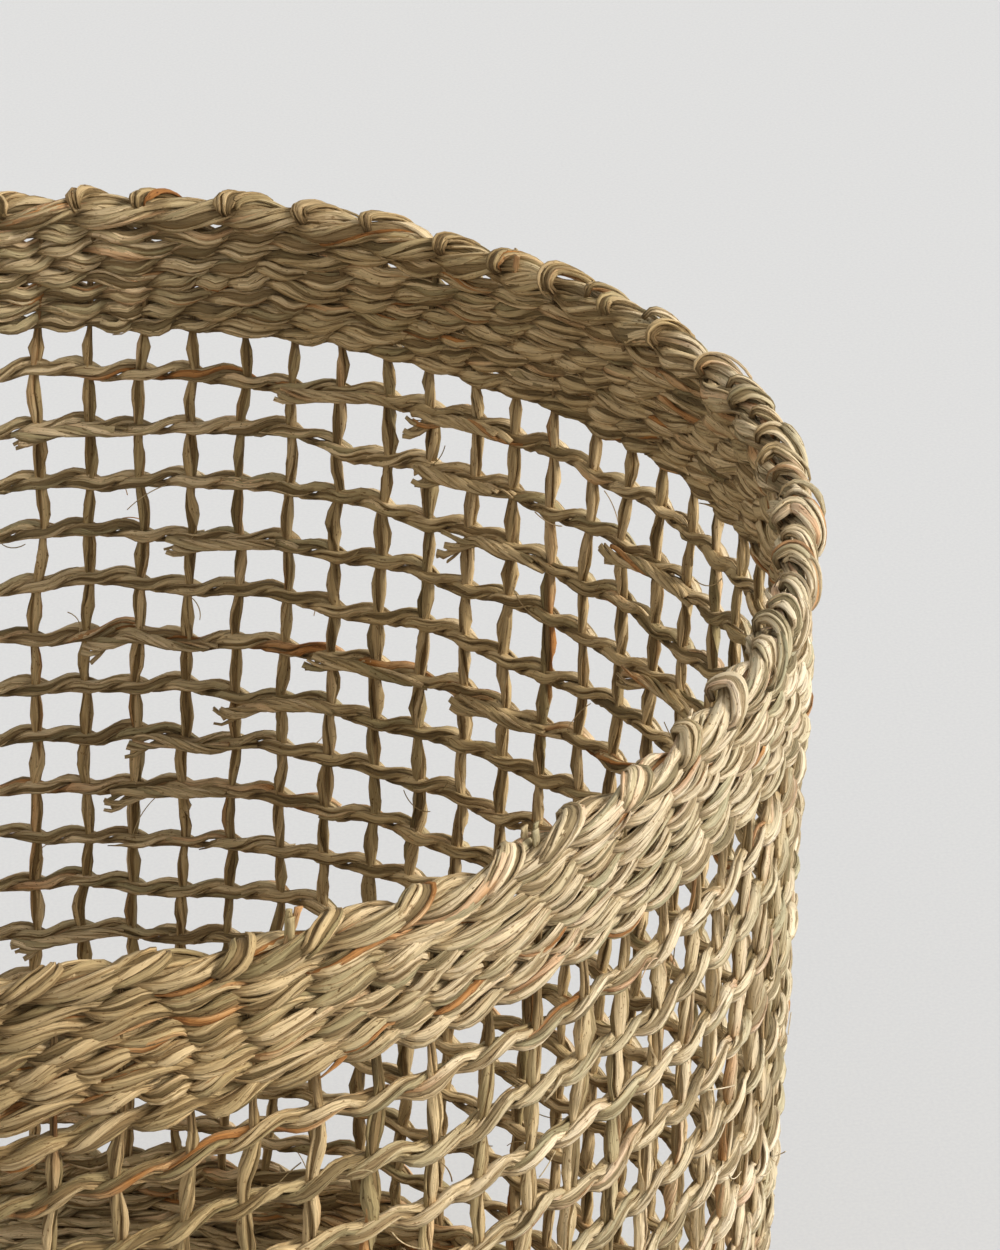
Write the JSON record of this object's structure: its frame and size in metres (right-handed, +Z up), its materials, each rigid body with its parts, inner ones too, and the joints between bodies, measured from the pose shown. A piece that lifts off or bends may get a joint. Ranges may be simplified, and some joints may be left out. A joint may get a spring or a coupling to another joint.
{
  "type": "seagrass basket",
  "caption": "Round open-top storage basket with an open twined mesh wall, a dense woven rim band with a looped border and a dense foot.",
  "frame": {"origin": "on the floor, under the middle of the bounding box", "axes": "+Z up through the mouth, -Y toward the front, +X toward the side that the wall leans to and where the rim is highest"},
  "size_m": [0.3798, 0.3662, 0.3295],
  "materials": {
    "base_mat": "matte woven plant fibre",
    "base_spokes": "matte plant fibre",
    "foot_weave": "matte woven plant fibre",
    "open_weave": "matte twined plant fibre",
    "rim_weave": "matte twined plant fibre",
    "stakes": "matte plant fibre"
  },
  "bodies": {
    "root": {"base_underside_mat": "base_mat", "base_upper_mat": "base_mat", "base_spoke_01": "base_spokes", "base_spoke_02": "base_spokes", "base_spoke_03": "base_spokes", "base_spoke_04": "base_spokes", "base_spoke_05": "base_spokes", "base_spoke_06": "base_spokes", "base_spoke_07": "base_spokes", "base_spoke_08": "base_spokes", "base_spoke_09": "base_spokes", "base_spoke_10": "base_spokes", "base_spoke_11": "base_spokes", "base_spoke_12": "base_spokes", "base_spoke_13": "base_spokes", "base_spoke_14": "base_spokes", "foot_row_01": "foot_weave", "foot_row_02": "foot_weave", "foot_row_03": "foot_weave", "foot_row_04": "foot_weave", "foot_row_05": "foot_weave", "foot_row_06": "foot_weave", "open_row_01": "open_weave", "open_row_02": "open_weave", "open_row_03": "open_weave", "open_row_04": "open_weave", "open_row_05": "open_weave", "open_row_06": "open_weave", "open_row_07": "open_weave", "open_row_08": "open_weave", "open_row_09": "open_weave", "open_row_10": "open_weave", "open_row_11": "open_weave", "open_row_12": "open_weave", "open_row_13": "open_weave", "open_row_14": "open_weave", "open_row_15": "open_weave", "open_row_16": "open_weave", "rim_row_01": "rim_weave", "rim_row_02": "rim_weave", "rim_row_03": "rim_weave", "rim_row_04": "rim_weave", "rim_row_05": "rim_weave", "rim_row_06": "rim_weave", "rim_row_07": "rim_weave", "stakes_and_border_01": "stakes", "stakes_and_border_02": "stakes", "stakes_and_border_03": "stakes", "stakes_and_border_04": "stakes", "stakes_and_border_05": "stakes", "stakes_and_border_06": "stakes", "stakes_and_border_07": "stakes", "stakes_and_border_08": "stakes", "stakes_and_border_09": "stakes", "stakes_and_border_10": "stakes", "stakes_and_border_11": "stakes", "stakes_and_border_12": "stakes", "stakes_and_border_13": "stakes", "stakes_and_border_14": "stakes"}
  },
  "joints": []
}
